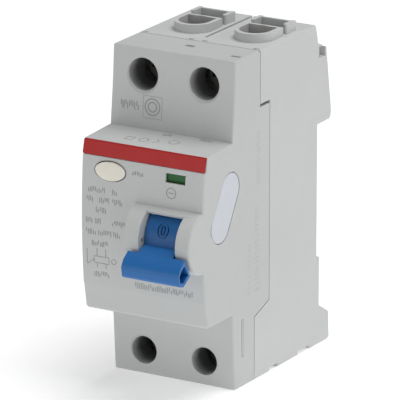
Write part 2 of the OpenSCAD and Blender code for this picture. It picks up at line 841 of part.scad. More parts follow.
module handle_bar() {
    outline = [[-11.4, 2.7], [-14, 2.15], [-15.7, 0.9], [-16.3, -1.9], [-14.4, -3.3], [-10.65, -2.6]];
    hollow = [[-12, 1.3], [-13.6, 1.15], [-14.95, 0.35], [-15.35, -1.4], [-13.95, -2.3], [-11.45, -1.75]];
    right_end = 17;
    mid_x = right_end - bar_w / 2;
    difference() {
        along_x(mid_x - bar_w / 2, mid_x + bar_w / 2) polygon(outline);
        along_x(mid_x + 1, mid_x + bar_w) polygon(hollow);
        along_x(mid_x - bar_w, mid_x - 1) polygon(hollow);
    }
}

module toggle() {
    web_t = 1.4;
    rim_t = 1.5;
    color("#2560a0") at_toggle() difference() {
        union() {
            difference() {
                along_x(drum_left, drum_right) drum_sector(drum_r);
                along_x(drum_left + web_t, drum_right - web_t) drum_sector(drum_r - rim_t);
            }
            rod_x(drum_left, drum_right, 0, 0, 2.6);
            along_x(drum_left, drum_right)
                polygon([[-11.6, 2.68], [-drum_r + 1.2, 2.4], [-drum_r + 1.2, -2.5], [-11.6, -2.5]]);
            handle_bar();
            // Crank for the link
            block([crank_x - crank_t / 2, crank_x + crank_t / 2], [0, crank_u], [-1.7, 1.7]);
            rod_x(crank_x - crank_t / 2, crank_x + crank_t / 2, crank_u, 0, 1.7);
        }
        rod_x(0, 20, 0, 0, 1.05);
        rod_x(crank_x - crank_t, crank_x + crank_t, crank_u, 0, wire_r + 0.05);
        drum_marks();
    }
}

module toggle_pin() {
    color(steel) rod_x(slot_left - 1.5, slot_right + 1.5, -toggle_y, toggle_z, 1);
}

module toggle_spring() {
    color(steel) at_toggle() translate([drum_right - 4.5, 0, 0])
        tube(coil_x(4, 3.2, 0.64), 0.27, 6, [1, 0.02, 0.01]);
}

// Steel wire from the toggle's crank down to the carrier's lever, bent at both ends.
module link_rod() {
    low = [0, carrier_y - lever_len, carrier_z];
    top = [0, -toggle_y + crank_u * cos(toggle_rest), toggle_z + crank_u * sin(toggle_rest)];
    bend = 1.1;
    leg = [link_leg_x, 0, 0];
    across = [bend, 0, 0];
    along = bend * unit(low - top);
    color(steel) tube([top + [crank_x - crank_t / 2 - 0.1, 0, 0], top + leg - across,
        top + leg + (along - across) * 0.3, top + leg + along, low + leg - along,
        low + leg - (along + across) * 0.3, low + leg - across, low + [lever_x - lever_t / 2 - 0.4, 0, 0]],
        wire_r, 12, cross([1, 0, 0], along));
}

module mechanism_frame() {
    outline = [[-48.5, -16], [-47, -18.9], [-40.6, -18.9], [-40.6, -22.5], [-4, -22.5], [-2, -21],
        [-2, -18.5], [-4, -17.5], [-26.8, -17.5], [-26.8, -1], [-22.8, 1.5], [-22.8, 8], [-27, 9.5],
        [-32, -4], [-45.5, -6]];
    color(inner_ivory) difference() {
        union() {
            mirror_pair() along_x(frame_in, frame_out) polygon(outline);
            block([-frame_out, frame_out], [-46.4, -44.8], [-18.9, -17.6]);
            block([-frame_out, frame_out], [-29, -26.2], [-22.5, -21]);
        }
        rod_x(-20, 20, carrier_y, carrier_z, 1.26);
        rod_x(-20, 20, trip_y, trip_z, 0.91);
    }
}

module trip_lever() {
    arm_x = relay_x + relay_w / 2;
    color("#d9d4bd") translate([0, trip_y, trip_z]) difference() {
        union() {
            rod_x(-4.4, arm_x + 2, 0, 0, 2);
            block([arm_x - 1.8, arm_x + 1.8], [0.4, 1.6], [0, 10.8]);
            // Pawl that holds the carrier's catch
            along_x(-3.6, -1) polygon([[0.8, 0], [-1.8, 0], [-6.4, -7.6], [-5.2, -9.2]]);
        }
        rod_x(-20, 20, 0, 0, 0.96);
    }
}

module trip_lever_pin() {
    color(steel) rod_x(-frame_out, frame_out, trip_y, trip_z, 0.9);
}

// Torsion spring on the trip lever's pin.
module trip_spring() {
    color(steel) translate([-12.4, trip_y, trip_z]) tube(coil_x(5, 1.6, 0.6), 0.2, 6, [1, 0.02, 0.01]);
}

// ---------------------------------------------------------------- test circuit and indicator

module test_button() {
    proud = 0.75;
    dome_r = 16;
    front_y = face_y(button_z) - proud;
    color("#e3e0d4") {
        intersection() {
            on_face(button_x, button_z, front_y - 1, -nose_y + 4.5) oval(button_w, button_h);
            translate([button_x, front_y + dome_r, button_z]) sphere(dome_r, $fn = 96);
        }
        // Shoulder that stops the button from coming out, and the stem
        on_face(button_x, button_z, -nose_y + 5.3, -nose_y + 6.1) oval(button_w + 1.4, button_h + 1.4);
        on_face(button_x, button_z, -nose_y + 4.4, -nose_y + 5.4) oval(button_w - 0.6, button_h - 0.6);
        rod_y(button_x, -nose_y + 6, -nose_y + 8.2, button_z, 1.3);
    }
}

// Bent spring strip behind the test button.
module test_contact() {
    color(brass_yellow) along_x(button_x - 1.6, button_x + 1.6) polygon([[-47.3, 18.5], [-46.9, 18.5],
        [-46.9, 7], [-48.9, 2], [-49.3, 2.2], [-47.3, 7.1]]);
}

module test_resistor() {
    x = -8;
    y = -49.6;
    color("#4f8d9c") {
        translate([x, y, -13.5]) cylinder(h = 9, r = 1.9);
        for (z = [-13.5, -6]) translate([x, y, z]) cylinder(h = 1.5, r = 2.15);
    }
    color(silver) {
        translate([x, y, -15.2]) cylinder(h = 1.8, r = 0.35);
        translate([x, y, -4.6]) cylinder(h = 1.8, r = 0.35);
    }
}

module test_leads() {
    color("#d8d4c6") {
        tube(smooth([[-8, -49.6, -2.6], [-8, -49.8, -1.2], [-8.4, -49.7, 0.2], [-8.8, -49.1, 1.8]], 4),
            0.45, 6);
        tube(smooth([[-8, -49.6, -15.5], [-7.4, -48.2, -16.4], [-6.8, -44, -16.5], [-6.4, -38, -17.8],
            [-6.2, -30, -19.4], [-6.4, -26, -20.1], [-6.8, -23.8, -21.8], [-7.2, -23.2, -23.3],
            [-7.4, -23.1, -24.6]], 4), 0.45, 6);
    }
}

// Section of the flag outside the radius inner. Its upper part is green and its lower part is red.
module flag_section(inner) {
    reach = 10;
    high = 10.5;
    low = 32;
    difference() {
        intersection() {
            circle(flag_r);
            polygon([[0, 0], [-reach * cos(high), reach * sin(high)], [-reach, 0],
                [-reach * cos(low), -reach * sin(low)]]);
        }
        circle(inner);
    }
}

// Curved flag behind the indicator window, on two trunnions. Green is shown when the contacts are open.
module indicator_flag() {
    rim_t = 0.9;
    plate_t = 0.8;
    x = [window_left - flag_side, window_right + flag_side];
    overhang = 0.9;
    color("#1f5a2a") translate([0, flag_y, flag_z]) {
        along_x(x[0], x[1]) flag_section(flag_r - rim_t);
        along_x(x[0], x[0] + plate_t) flag_section(0.5);
        along_x(x[1] - plate_t, x[1]) flag_section(0.5);
        rod_x(x[0] - overhang, x[1] + overhang, 0, 0, trunnion_r);
    }
}

// ---------------------------------------------------------------- assembly

rear_base();
front_cover();
mechanism_frame();
colour_band();
side_plug();
rail_clip();
at_terminal(-1, line_end) terminal_screw();  // terminal_screw_line_left
at_terminal(1, line_end) terminal_screw();  // terminal_screw_line_right
at_terminal(-1, load_end) terminal_screw();  // terminal_screw_load_left
at_terminal(1, load_end) terminal_screw();  // terminal_screw_load_right
at_terminal(-1, line_end) terminal_cage();  // terminal_cage_line_left
at_terminal(1, line_end) terminal_cage();  // terminal_cage_line_right
at_terminal(-1, load_end) terminal_cage();  // terminal_cage_load_left
at_terminal(1, load_end) terminal_cage();  // terminal_cage_load_right
at_terminal(-1, line_end) line_strip();  // line_strip_left
at_terminal(1, line_end) line_strip();  // line_strip_right
at_terminal(-1, load_end) load_strip();  // load_strip_left
at_terminal(1, load_end) load_strip();  // load_strip_right
fixed_contact(-1);  // fixed_contact_left
fixed_contact(1);  // fixed_contact_right
contact_carrier();
carrier_pin();
moving_arm(-1);  // moving_arm_left
moving_arm(1);  // moving_arm_right
moving_contact(-1);  // moving_contact_left
moving_contact(1);  // moving_contact_right
contact_spring(-1);  // contact_spring_left
contact_spring(1);  // contact_spring_right
braid(-1);  // braid_left
braid(1);  // braid_right
primary_conductor(-1);  // primary_conductor_left
primary_conductor(1);  // primary_conductor_right
sensor_core();
sensor_winding();
sensor_case();
sensor_lid();
sensor_leads();
relay_base();
relay_can();
relay_coil();
relay_yoke();
relay_plunger();
relay_spring();
toggle();
toggle_pin();
toggle_spring();
link_rod();
trip_lever();
trip_lever_pin();
trip_spring();
test_button();
test_contact();
test_resistor();
test_leads();
indicator_flag();
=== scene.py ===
"""Two-pole residual current device for a 35 mm rail: looks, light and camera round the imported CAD."""

import json
import math
import random

import bmesh
import bpy
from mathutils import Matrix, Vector
from mathutils.bvhtree import BVHTree

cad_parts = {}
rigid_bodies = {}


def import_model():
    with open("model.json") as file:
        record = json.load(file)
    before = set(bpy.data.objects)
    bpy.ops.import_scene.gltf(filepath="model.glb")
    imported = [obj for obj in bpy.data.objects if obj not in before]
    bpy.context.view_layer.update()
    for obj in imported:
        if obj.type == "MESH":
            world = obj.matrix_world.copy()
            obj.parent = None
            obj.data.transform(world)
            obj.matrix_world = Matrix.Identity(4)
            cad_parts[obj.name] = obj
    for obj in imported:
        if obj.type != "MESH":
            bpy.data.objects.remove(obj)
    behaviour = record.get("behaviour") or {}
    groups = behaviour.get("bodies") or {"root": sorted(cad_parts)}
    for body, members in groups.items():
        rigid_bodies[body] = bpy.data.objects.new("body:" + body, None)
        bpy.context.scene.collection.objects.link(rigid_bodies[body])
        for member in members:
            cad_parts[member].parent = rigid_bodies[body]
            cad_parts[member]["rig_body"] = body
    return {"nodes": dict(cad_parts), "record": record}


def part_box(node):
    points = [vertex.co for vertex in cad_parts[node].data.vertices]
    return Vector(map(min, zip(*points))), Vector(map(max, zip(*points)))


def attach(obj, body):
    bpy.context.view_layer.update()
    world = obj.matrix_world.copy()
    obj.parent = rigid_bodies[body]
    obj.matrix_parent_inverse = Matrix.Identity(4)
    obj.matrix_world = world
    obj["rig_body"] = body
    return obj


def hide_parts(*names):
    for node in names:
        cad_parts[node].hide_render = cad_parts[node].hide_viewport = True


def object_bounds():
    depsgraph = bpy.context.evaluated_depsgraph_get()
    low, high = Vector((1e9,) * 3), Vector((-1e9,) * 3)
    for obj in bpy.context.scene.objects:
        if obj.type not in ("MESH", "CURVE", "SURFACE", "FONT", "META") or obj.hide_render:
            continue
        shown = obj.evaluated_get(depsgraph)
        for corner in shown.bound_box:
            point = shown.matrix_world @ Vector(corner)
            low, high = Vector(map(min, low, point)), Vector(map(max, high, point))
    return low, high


MM = 0.001
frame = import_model()
cad_low, cad_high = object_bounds()
scene = bpy.context.scene


# ---------------------------------------------------------------- places on the object, in millimetres

def middle(node):
    """The centre of a CAD node's box."""
    low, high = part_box(node)
    return (low + high) / 2 / MM


record = frame["record"]
MOUNTS = {mount["name"]: [place / MM for place in mount["pos_m"]] for mount in record["mounts"]}
PIVOTS = {joint["name"]: [place / MM for place in joint["pos_m"]]
          for joint in record["behaviour"]["joints"] if "pos_m" in joint}

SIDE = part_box("rear_base")[1].x / MM

# The four screwdriver bores: their axes, the radii over which their shade ends, and the depths where it
# sets in and fades out.
BORE_X, _, BORE_TOP = MOUNTS["screwdriver_guide_line_right"]
BORE_LOW = MOUNTS["screwdriver_guide_load_right"][2]
BORE_SHADE_R = (4.6, 4.9)
BORE_MOUTH = (-41.0, -37.6)
BORE_END = (-16.0, -13.0)

# The test button's oval, the gap round it, and the depths where the gap's shade sets in and fades out.
BUTTON_X, _, BUTTON_Z = middle("test_button")
BUTTON_W, BUTTON_H, BUTTON_GAP = 8.6, 4.7, 0.3
GAP_MOUTH = (-57.1, -56.8)
GAP_END = (-52.0, -51.0)

# The toggle's axis, and the radii over which the shade of its drum and of the marks cut into it sets in.
_, DRUM_Y, DRUM_Z = PIVOTS["toggle_swing"]
DRUM_SHADE_R = (8.15, 9.0)
MARK_SHADE_R = (7.8, 8.0)
HANDLE_ENDS = [end.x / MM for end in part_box("toggle")]
HANDLE_FRONT = -65.3

# The columns of raised bars on the side: the depth, lowest point, highest point and half width of each. Then
# the bars' pitch, and the widths over which a column fades at its edges and at its ends.
BAR_COLUMNS = ((-30.0, 9.7, 23.9, 0.8), (-30.9, -18.2, 3.9, 0.9), (-34.6, -17.5, -4.0, 0.5))
BAR_PITCH = 1.4
COLUMN_EDGE, COLUMN_END = 0.15, 0.2

# The height where the flag's green half meets its red one.
FLAG_SPLIT = 15.62

# The front of the two terminal blocks, the depth that only the nose reaches, and the top edges of the nose.
BLOCK_FRONT = (-43.2, -41)
NOSE_FRONT = -54
NOSE_TOP = (22.9, 23.8)

# The part of the side round the plug, and a height that passes through the plug.
PLUG_DEPTHS, PLUG_HEIGHTS = (-52.9, -38), (-3, 19)
PLUG_CUT = 12.0

# The rail grip at the top of the back lies behind this depth and above this height.
GRIP_DEPTH, GRIP_HEIGHT = -1, 34

# The parting line between the cover and the base, from the top down, as depths and heights.
SEAM = [(-29.3, 60), (-29.3, 29.7), (-24.5, 29.7), (-24.5, -21.7), (-31.9, -24.3), (-31.9, -60)]


def within(value, span):
    return span[0] < value < span[1]


# ---------------------------------------------------------------- materials

# A colour Mix node's sockets by number, as its number and vector sockets have the same names.
MIX_INPUTS, MIX_RESULT = (0, 6, 7), 2


def rgb(red, green, blue):
    """An sRGB colour in 0-255 as linear values."""
    def linear(c):
        c /= 255
        return c / 12.92 if c <= 0.04045 else ((c + 0.055) / 1.055) ** 2.4
    return linear(red), linear(green), linear(blue), 1.0


def shade(colour, factor):
    return tuple(c * factor for c in colour[:3]) + (1.0,)


class Look:
    """A Principled material whose colour, roughness and bump come from noise in object space."""

    def __init__(self, name, roughness, metallic=0.0, specular=0.5):
        self.material = bpy.data.materials.new(name)
        self.material.use_nodes = True
        self.tree = self.material.node_tree
        self.shader = self.tree.nodes["Principled BSDF"]
        self.shader.inputs["Metallic"].default_value = metallic
        self.shader.inputs["Roughness"].default_value = roughness
        self.shader.inputs["Specular IOR Level"].default_value = specular
        self.place = self.node("ShaderNodeTexCoord").outputs["Object"]
        self.painted = None
        self.normal = None

    def node(self, kind, **settings):
        made = self.tree.nodes.new(kind)
        for key, value in settings.items():
            setattr(made, key, value)
        return made

    def feed(self, socket, value):
        """Links a socket to another node's output, or sets it to a constant."""
        if isinstance(value, bpy.types.NodeSocket):
            self.tree.links.new(value, socket)
        else:
            socket.default_value = value

    def noise(self, per_mm, detail=3.0, rough=0.55, stretch=(1, 1, 1)):
        mapping = self.node("ShaderNodeMapping")
        mapping.inputs["Scale"].default_value = [s * per_mm / MM for s in stretch]
        self.feed(mapping.inputs["Vector"], self.place)
        made = self.node("ShaderNodeTexNoise")
        made.inputs["Scale"].default_value = 1.0
        made.inputs["Detail"].default_value = detail
        made.inputs["Roughness"].default_value = rough
        self.feed(made.inputs["Vector"], mapping.outputs["Vector"])
        return made.outputs["Fac"]

    def ramp(self, value, low, high, span=(0.3, 0.7)):
        """Goes from low to high while the value goes over the span. The default span is that of a noise."""
        made = self.node("ShaderNodeMapRange")
        made.inputs["From Min"].default_value, made.inputs["From Max"].default_value = span
        made.inputs["To Min"].default_value = low
        made.inputs["To Max"].default_value = high
        self.feed(made.inputs["Value"], value)
        return made.outputs["Result"]

    def mix(self, share, first, second, **settings):
        """Mixes two colours, each of them constant or painted."""
        made = self.node("ShaderNodeMix", data_type="RGBA", **settings)
        for socket, value in zip(MIX_INPUTS, (share, first, second)):
            self.feed(made.inputs[socket], value)
        return made.outputs[MIX_RESULT]

    def maths(self, operation, first, second=0.0):
        made = self.node("ShaderNodeMath", operation=operation)
        self.feed(made.inputs[0], first)
        self.feed(made.inputs[1], second)
        return made.outputs["Value"]

    def times(self, first, second):
        return self.maths("MULTIPLY", first, second)

    def off(self, value, centre):
        """How far a value is past a centre."""
        return self.maths("SUBTRACT", value, centre)

    def reach(self, first, second):
        """The square of the distance that two offsets make."""
        return self.maths("ADD", self.times(first, first), self.times(second, second))

    def axes(self):
        """The X, Y and Z of the shaded point on the resting object, in millimetres."""
        scaled = self.node("ShaderNodeVectorMath", operation="SCALE")
        scaled.inputs["Scale"].default_value = 1 / MM
        self.feed(scaled.inputs["Vector"], self.place)
        parts = self.node("ShaderNodeSeparateXYZ")
        self.feed(parts.inputs["Vector"], scaled.outputs["Vector"])
        return [parts.outputs[axis] for axis in "XYZ"]

    def paint(self, output):
        self.feed(self.shader.inputs["Base Color"], output)
        self.painted = output

    def tint(self, mask, factor):
        """Darkens the painted colour towards the given share of itself where the mask is 1."""
        self.paint(self.mix(mask, self.painted, (factor, factor, factor, 1.0), blend_type="MULTIPLY"))

    def roughen(self, value, low, high):
        self.feed(self.shader.inputs["Roughness"], self.ramp(value, low, high))

    def bump(self, value, depth_mm, strength=1.0):
        made = self.node("ShaderNodeBump")
        made.inputs["Strength"].default_value = strength
        made.inputs["Distance"].default_value = depth_mm * MM
        self.feed(made.inputs["Height"], value)
        if self.normal is not None:
            self.feed(made.inputs["Normal"], self.normal)
        self.normal = made.outputs["Normal"]
        self.feed(self.shader.inputs["Normal"], self.normal)


# The depth of each kind of relief, in millimetres.
GRAIN = 0.006
FLOW_DEPTH = 1.6 * GRAIN
SCRATCH = 0.004
WIRE_DEPTH = 0.08
BAR_DEPTH = 0.1

# How many waves a wave texture of scale 1 draws in a unit, about.
WAVES_PER_UNIT = 3.14

# The share of its brightness that a shaded part keeps.
BORE_SHADE, GAP_SHADE, DRUM_SHADE, MARK_SHADE = 0.28, 0.3, 0.72, 0.35


def moulded(name, colour, roughness=0.5, mottle=0.03):
    """Moulded plastic with spark-eroded grain, faint flow marks and a slightly uneven gloss."""
    look = Look(name, roughness, specular=0.4)
    cloud = look.ramp(look.noise(per_mm=0.045, detail=4.0), 0, 1)
    speck = look.noise(per_mm=1.6, detail=2.0)
    dust = mottle * 0.8
    clouded = look.mix(cloud, shade(colour, 1 - mottle), shade(colour, 1 + mottle))
    dusty = look.mix(look.ramp(speck, 0, 1), shade(colour, 1 - dust), shade(colour, 1 + dust))
    look.paint(look.mix(look.ramp(speck, 0.3, 0.5), clouded, dusty))
    look.roughen(look.noise(per_mm=0.35), roughness - 0.06, roughness + 0.08)
    look.bump(look.noise(per_mm=5.5, detail=2.0, rough=0.7), GRAIN)
    look.bump(look.noise(per_mm=0.22, detail=2.0), FLOW_DEPTH, strength=0.5)
    return look


def metal(name, colour, roughness=0.3, stretch=(1, 1, 12), tarnish=0.1, per_mm=1.2):
    """Metal with drawn or ground streaks along one axis and patches of faint tarnish."""
    look = Look(name, roughness, metallic=1.0)
    streak = look.noise(per_mm, rough=0.6, stretch=stretch)
    patch = look.ramp(look.noise(per_mm=0.3), 0, 1)
    look.paint(look.mix(patch, shade(colour, 1 - tarnish), colour))
    look.roughen(streak, roughness - 0.08, roughness + 0.12)
    look.bump(streak, SCRATCH)
    return look


def wound(name, colour, wires_per_mm):
    """Enamelled wire laid side by side up the part."""
    look = Look(name, 0.28, specular=0.6)
    wave = look.node("ShaderNodeTexWave", wave_type="BANDS", bands_direction="Z", wave_profile="SIN")
    wave.inputs["Scale"].default_value = wires_per_mm / MM / WAVES_PER_UNIT
    wave.inputs["Distortion"].default_value = 0.6
    wave.inputs["Detail"].default_value = 1.0
    look.feed(wave.inputs["Vector"], look.place)
    look.paint(look.mix(wave.outputs["Fac"], shade(colour, 0.45), colour))
    look.bump(wave.outputs["Fac"], WIRE_DEPTH)
    look.roughen(look.noise(per_mm=0.8), 0.2, 0.4)
    return look


def squared(span):
    return [r * r for r in span]


def darken_bores(look):
    """Lets the moulding fall into shade inside the four screwdriver bores."""
    x, y, z = look.axes()
    centre = (BORE_TOP + BORE_LOW) / 2
    across = look.off(look.maths("ABSOLUTE", x), BORE_X)
    up = look.off(look.maths("ABSOLUTE", look.off(z, centre)), BORE_TOP - centre)
    inside = look.ramp(look.reach(across, up), 1, 0, squared(BORE_SHADE_R))
    deep = look.times(look.ramp(y, 0, 1, BORE_MOUTH), look.ramp(y, 1, 0, BORE_END))
    look.tint(look.times(inside, deep), BORE_SHADE)


def darken_gap(look):
    """Lets the narrow gap round the test button fall into shade."""
    x, y, z = look.axes()
    across = look.maths("DIVIDE", look.off(x, BUTTON_X), BUTTON_W / 2 + BUTTON_GAP)
    up = look.maths("DIVIDE", look.off(z, BUTTON_Z), BUTTON_H / 2 + BUTTON_GAP)
    inside = look.ramp(look.reach(across, up), 1, 0, (1.0, 1.02))
    deep = look.times(look.ramp(y, 0, 1, GAP_MOUTH), look.ramp(y, 1, 0, GAP_END))
    look.tint(look.times(inside, deep), GAP_SHADE)


def darken_drum(look):
    """Lets the toggle's drum, and the marks engraved in it, fall into shade."""
    _, y, z = look.axes()
    from_axis = look.reach(look.off(y, DRUM_Y), look.off(z, DRUM_Z))
    look.tint(look.ramp(from_axis, 1, 0, squared(DRUM_SHADE_R)), DRUM_SHADE)
    look.tint(look.ramp(from_axis, 1, 0, squared(MARK_SHADE_R)), MARK_SHADE)


def raise_bars(look):
    """Adds columns of faint raised bars to the right side."""
    x, y, z = look.axes()
    bars = look.ramp(look.maths("PINGPONG", z, BAR_PITCH / 2), 0, 1, (0.3, 0.4))
    on_side = look.ramp(x, 0, 1, (SIDE - 0.2, SIDE - 0.1))
    for depth, bottom, top, half_width in BAR_COLUMNS:
        across = look.maths("ABSOLUTE", look.off(y, depth))
        along = look.maths("ABSOLUTE", look.off(z, (bottom + top) / 2))
        half_height = (top - bottom) / 2
        column = look.times(look.ramp(across, 1, 0, (half_width, half_width + COLUMN_EDGE)),
                            look.ramp(along, 1, 0, (half_height, half_height + COLUMN_END)))
        look.bump(look.times(look.times(column, on_side), bars), BAR_DEPTH)


def redden_half(look):
    """Paints the lower half of the flag red, for the state in which the device is on."""
    below = look.ramp(look.axes()[2], 1, 0, (FLAG_SPLIT - 0.02, FLAG_SPLIT + 0.02))
    look.paint(look.mix(below, look.painted, rgb(176, 30, 28)))


cover_grey = moulded("cover_moulding", rgb(196, 198, 197))
darken_bores(cover_grey)
darken_gap(cover_grey)
raise_bars(cover_grey)
base_grey = moulded("base_moulding", rgb(202, 204, 203))
darken_bores(base_grey)
blue = moulded("blue_moulding", rgb(30, 104, 172), 0.4, mottle=0.05)
darken_drum(blue)
flag = moulded("flag_moulding", rgb(30, 92, 40), 0.4)
redden_half(flag)
ivory = moulded("inner_moulding", rgb(226, 220, 200))
clip_ivory = moulded("clip_moulding", rgb(222, 220, 210), 0.42)
red = moulded("red_moulding", rgb(176, 30, 28), 0.42)
plug = moulded("plug_moulding", rgb(206, 210, 217), 0.4)
black = moulded("black_moulding", rgb(38, 39, 42), 0.45, mottle=0.08)
cream = moulded("button_moulding", rgb(232, 228, 216), 0.34)
lever = moulded("lever_moulding", rgb(214, 208, 180))
blue_wire = moulded("blue_insulation", rgb(40, 84, 158), 0.35, mottle=0.05)
brown_wire = moulded("brown_insulation", rgb(96, 62, 42), 0.35, mottle=0.06)
yellow_wire = moulded("yellow_insulation", rgb(206, 196, 58), 0.35, mottle=0.04)
pale_wire = moulded("lead_insulation", rgb(222, 216, 200), 0.35, mottle=0.04)
enamel = moulded("resistor_enamel", rgb(82, 146, 162), 0.25, mottle=0.06)
ink = moulded("grey_ink", rgb(150, 152, 152), 0.55)
zinc = metal("zinc_steel", rgb(196, 198, 200), 0.28)
# Darker copies of the zinc and the nickel for the terminal screws and cages: the darkness is painted shade,
# for the shade they sit in down the bores, not a finish of their own.
shaded_zinc = metal("screw_steel_painted_shade", rgb(112, 112, 109), 0.42)
shaded_nickel = metal("cage_steel_painted_shade", rgb(128, 126, 120), 0.36, (1, 8, 1))
nickel = metal("plated_steel", rgb(206, 205, 200), 0.24, (1, 8, 1))
drawn = metal("spring_steel", rgb(168, 170, 172), 0.32, (1, 1, 1), per_mm=4)
silver = metal("contact_silver", rgb(222, 222, 216), 0.22, (1, 1, 1))
copper = metal("strip_copper", rgb(196, 120, 78), 0.3, (8, 1, 1), tarnish=0.22)
brass = metal("spring_brass", rgb(205, 172, 92), 0.26, (1, 1, 8))
iron = metal("core_iron", rgb(120, 123, 128), 0.5, (1, 1, 10), tarnish=0.2)
winding = wound("sensor_enamelled_wire", rgb(176, 92, 48), 3.0)
coil_wire = wound("coil_enamelled_wire", rgb(176, 92, 48), 5.0)
braid = wound("copper_braid", rgb(190, 128, 88), 2.2)

looks = {
    "front_cover": cover_grey, "rear_base": base_grey, "mechanism_frame": ivory, "colour_band": red,
    "side_plug": plug, "rail_clip": clip_ivory, "contact_carrier": black, "carrier_pin": zinc,
    "sensor_core": iron, "sensor_winding": winding, "sensor_case": black, "sensor_lid": black,
    "sensor_leads": yellow_wire, "relay_base": black, "relay_can": nickel, "relay_coil": coil_wire,
    "relay_yoke": iron, "relay_plunger": red, "relay_spring": drawn, "toggle": blue, "toggle_pin": zinc,
    "toggle_spring": drawn, "link_rod": drawn, "trip_lever": lever, "trip_lever_pin": zinc,
    "trip_spring": drawn, "test_button": cream, "test_contact": brass, "test_resistor": enamel,
    "test_leads": pale_wire, "indicator_flag": flag,
    "primary_conductor_left": blue_wire, "primary_conductor_right": brown_wire,
}
for side in ("left", "right"):
    looks[f"fixed_contact_{side}"] = looks[f"moving_contact_{side}"] = silver
    looks[f"moving_arm_{side}"] = copper
    looks[f"contact_spring_{side}"] = drawn
    looks[f"braid_{side}"] = braid
    for end in ("line", "load"):
        looks[f"terminal_screw_{end}_{side}"] = shaded_zinc
        looks[f"terminal_cage_{end}_{side}"] = shaded_nickel
        looks[f"{end}_strip_{side}"] = copper

for node, look in looks.items():
    mesh = frame["nodes"][node].data
    mesh.materials.clear()
    mesh.materials.append(look.material)


# ---------------------------------------------------------------- softened mouldings

# How near points must be, in millimetres, to count as one, as on a cut, by the parting line or on a side.
WELD, ON_CUT, BY_SEAM, ON_SIDE = 0.002, 0.001, 0.45, 0.03

# The turns between faces: below the first they are one flat, above the second their edge may be rounded, and
# above the third it stays a crease.
FLAT_TURN, SHARP_TURN, CREASE_TURN = math.radians(0.4), math.radians(25), math.radians(35)

# The least length across the part of a block's top edge, an edge of the nose and an edge of the handle.
BLOCK_EDGE, NOSE_EDGE, HANDLE_EDGE = 20, 3, 12


def by_seam(point):
    """True if a point, in millimetres, lies by the parting line between the cover and the base."""
    spot = Vector((point.y, point.z))
    for first, last in zip(SEAM, SEAM[1:]):
        start, run = Vector(first), Vector(last) - Vector(first)
        along = max(0.0, min(1.0, (spot - start).dot(run) / run.length_squared))
        if (spot - start - run * along).length < BY_SEAM:
            return True
    return False


def outer(point):
    """True if a point lies on the left or right side of the housing."""
    return abs(abs(point.x) - SIDE) < ON_SIDE


def part_faces(work, heights):
    """Parts the flat faces at the given heights, with a seam along each new edge."""
    for height in heights:
        cut = bmesh.ops.bisect_plane(work, geom=[*work.verts, *work.edges, *work.faces], dist=ON_CUT * MM,
                                     plane_co=(0, 0, height * MM), plane_no=(0, 0, 1))
        for part in cut["geom_cut"]:
            if isinstance(part, bmesh.types.BMEdge):
                part.seam = True


def weigh_edges(work, radius_of):
    """Gives each sharp outer edge its share of the largest radius, which is returned."""
    weight = work.edges.layers.float.new("bevel_weight_edge")
    radii = {}
    for edge in work.edges:
        if len(edge.link_faces) == 2 and edge.calc_face_angle_signed(0) > SHARP_TURN:
            radii[edge] = radius_of(*(v.co / MM for v in edge.verts))
    largest = max(radii.values())
    for edge, radius in radii.items():
        edge[weight] = radius / largest
    return largest


def soften(node, radius_of, segments=3, cuts=()):
    """Stands a copy with rounded edges in for a CAD node. radius_of takes the two ends of an edge in
    millimetres and gives the radius of its rounding in millimetres, or 0 for a sharp edge. cuts are the
    heights where flat faces are parted, so that none of them goes all the way round a hole."""
    source = frame["nodes"][node]
    mesh = source.data.copy()
    piece = bpy.data.objects.new(f"{node}_moulding", mesh)
    scene.collection.objects.link(piece)
    work = bmesh.new()
    work.from_mesh(mesh)
    bmesh.ops.remove_doubles(work, verts=work.verts, dist=WELD * MM)
    part_faces(work, cuts)
    bmesh.ops.dissolve_limit(work, angle_limit=FLAT_TURN, verts=work.verts, edges=work.edges,
                             delimit={"SEAM"})
    largest = weigh_edges(work, radius_of)
    work.to_mesh(mesh)
    work.free()
    for polygon in mesh.polygons:
        polygon.use_smooth = True
    rounding = piece.modifiers.new("rounding", "BEVEL")
    rounding.limit_method = "WEIGHT"
    rounding.width = largest * MM
    rounding.segments = segments
    rounding.use_clamp_overlap = False
    split = piece.modifiers.new("creases", "EDGE_SPLIT")
    split.split_angle = CREASE_TURN
    weigh = piece.modifiers.new("shading", "WEIGHTED_NORMAL")
    weigh.keep_sharp = True
    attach(piece, source["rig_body"])
    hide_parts(node)


def cover_radius(*ends):
    """Wide roundings along the tops of the two blocks, small ones down the sides, and none round the plug
    or along the top of the nose, where they would meet in a notch."""
    if all(by_seam(p) for p in ends):
        return 0
    if all(outer(p) for p in ends):
        by_plug = all(within(p.y, PLUG_DEPTHS) and within(p.z, PLUG_HEIGHTS) for p in ends)
        nose_top = all(within(p.z, NOSE_TOP) for p in ends)
        return 0 if by_plug or nose_top else 0.5
    a, b = ends
    across = abs(b.x - a.x)
    if across > BLOCK_EDGE and all(within(p.y, BLOCK_FRONT) for p in ends):
        return 1.0
    if across > NOSE_EDGE and a.z == b.z and all(p.y < NOSE_FRONT for p in ends):
        return 0.3
    return 0


def base_radius(*ends):
    """Small roundings down the sides, none at the parting line or on the fine steps of the rail grip."""
    on_grip = any(p.y > GRIP_DEPTH and p.z > GRIP_HEIGHT for p in ends)
    sharp = on_grip or all(by_seam(p) for p in ends)
    return 0.4 if all(outer(p) for p in ends) and not sharp else 0


def toggle_radius(*ends):
    """Wide roundings along the front of the handle, small ones round its ends."""
    a, b = ends
    if abs(b.x - a.x) > HANDLE_EDGE:
        return 0.9 if all(p.y < HANDLE_FRONT for p in ends) else 0
    left, right = HANDLE_ENDS
    return 0.2 if all(p.x < left + 0.1 or p.x > right - 0.1 for p in ends) else 0


def trim_radius(*ends):
    """Small roundings where the red strip and the plug meet the sides."""
    return 0.3 if all(outer(p) for p in ends) else 0


